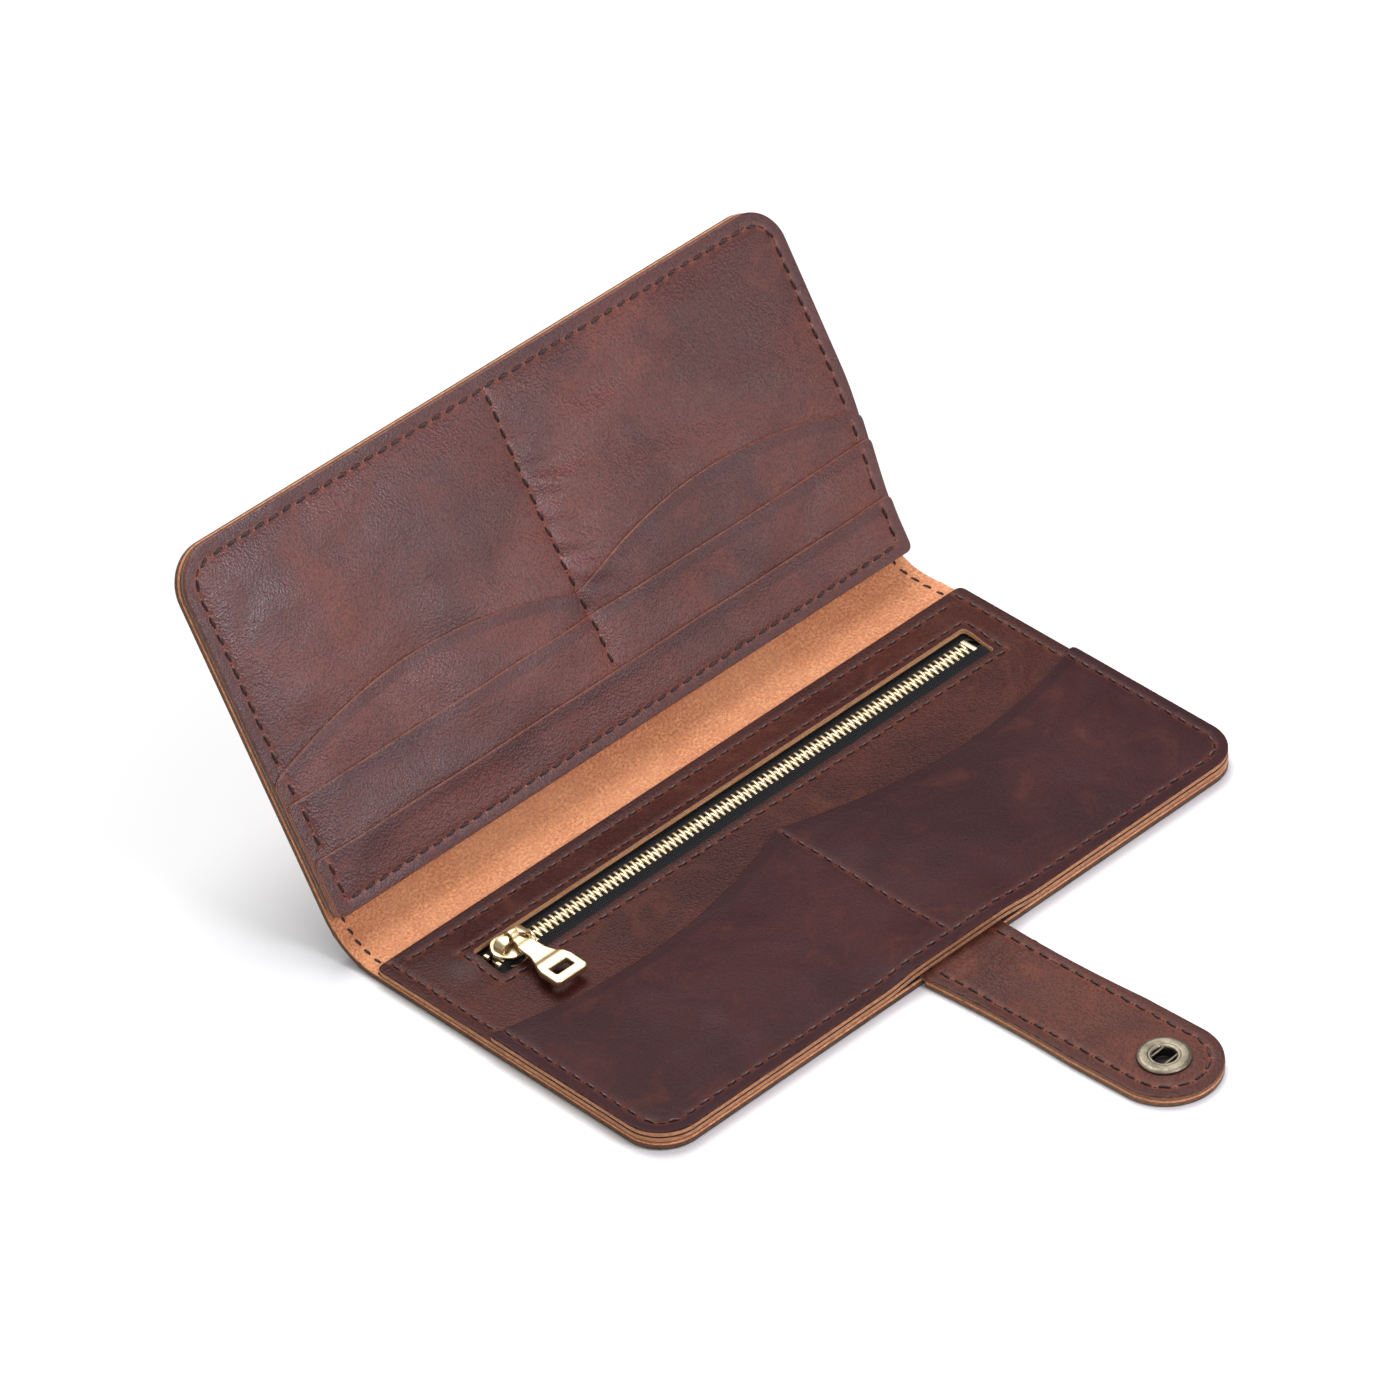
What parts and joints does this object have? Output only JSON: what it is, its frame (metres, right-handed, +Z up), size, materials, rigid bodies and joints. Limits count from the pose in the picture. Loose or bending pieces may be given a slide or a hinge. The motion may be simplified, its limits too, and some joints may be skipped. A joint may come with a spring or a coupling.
{
  "type": "long wallet",
  "caption": "Long bifold leather wallet standing open, with a zip compartment, a scooped front pocket, stepped card pockets and a snap tab.",
  "frame": {"origin": "middle of the lower flap's underside, where the wallet rests", "axes": "+X along the spine, +Y from the tab side towards the spine, +Z up"},
  "size_m": [0.19, 0.2281, 0.0885],
  "materials": {
    "grain_leather": "satin",
    "lining_cloth": "matte",
    "zip_tape": "matte",
    "zip_brass": "polished",
    "snap_metal": "antique",
    "waxed_thread": "waxed"
  },
  "bodies": {
    "lower_flap": {"cover_lower": "grain_leather", "zip_pocket_lining": "lining_cloth", "zip_panel": "grain_leather", "front_pocket": "grain_leather", "zip_tape_front": "zip_tape", "zip_tape_spine": "zip_tape", "zip_teeth_front": "zip_brass", "zip_teeth_spine": "zip_brass", "zip_top_stops": "zip_brass", "zip_bottom_stop": "zip_brass", "tab_root_facing": "grain_leather", "tab_root_backing": "grain_leather", "thread_lower_rim": "waxed_thread", "thread_zip_edge": "waxed_thread", "thread_zip_window": "waxed_thread", "thread_front_pocket": "waxed_thread"},
    "spine_lower": {"cover_spine_lower": "grain_leather", "thread_spine_lower": "waxed_thread"},
    "spine_upper": {"cover_spine_upper": "grain_leather", "thread_spine_upper": "waxed_thread"},
    "upper_flap": {"cover_upper": "grain_leather", "bill_divider": "grain_leather", "card_panel": "grain_leather", "card_pocket_domed": "grain_leather", "card_pocket_middle": "grain_leather", "card_pocket_front": "grain_leather", "snap_stud": "snap_metal", "snap_stud_post": "snap_metal", "thread_upper_rim": "waxed_thread", "thread_card_divider": "waxed_thread", "thread_card_base": "waxed_thread"},
    "slider": {"zip_slider": "zip_brass"},
    "pull": {"zip_pull": "zip_brass"},
    "tab_bend": {"tab_bend_facing": "grain_leather", "tab_bend_backing": "grain_leather", "thread_tab_bend": "waxed_thread"},
    "tab_end": {"tab_end_facing": "grain_leather", "tab_end_backing": "grain_leather", "snap_socket": "snap_metal", "snap_spring": "snap_metal", "snap_cap": "snap_metal", "thread_tab_end": "waxed_thread"}
  },
  "joints": [
    {"name": "spine_fold_lower", "type": "hinge", "parent": "lower_flap", "child": "spine_lower", "pos_m": [0, 0.0465, 0.0012], "axis": [1, 0, 0], "range_deg": [-19.67, 40.33]},
    {"name": "spine_fold_middle", "type": "hinge", "parent": "spine_lower", "child": "spine_upper", "pos_m": [0, 0.05502, 0.00344], "axis": [1, 0, 0], "range_deg": [-19.67, 40.33]},
    {"name": "spine_fold_upper", "type": "hinge", "parent": "spine_upper", "child": "upper_flap", "pos_m": [0, 0.06133, 0.00959], "axis": [1, 0, 0], "range_deg": [-19.67, 40.33]},
    {"name": "zip_slide", "type": "slide", "parent": "lower_flap", "child": "slider", "axis": [1, 0, 0], "range_m": [0, 0.1415]},
    {"name": "pull_swing", "type": "hinge", "parent": "slider", "child": "pull", "pos_m": [-0.0693, 0.0275, 0.00762], "axis": [1, 0, 0], "range_deg": [-166, 0]},
    {"name": "tab_fold_edge", "type": "hinge", "parent": "lower_flap", "child": "tab_bend", "pos_m": [0.00018, -0.04999, 0.003], "axis": [-0.9986, -0.0523, 0], "range_deg": [0, 90]},
    {"name": "tab_fold_over", "type": "hinge", "parent": "tab_bend", "child": "tab_end", "pos_m": [0.001, -0.06552, 0.003], "axis": [-0.9986, -0.0523, 0], "range_deg": [0, 90]}
  ],
  "couplings": [
    {"joint": "spine_fold_middle", "follows": "spine_fold_lower", "ratio": 1},
    {"joint": "spine_fold_upper", "follows": "spine_fold_lower", "ratio": 1}
  ]
}
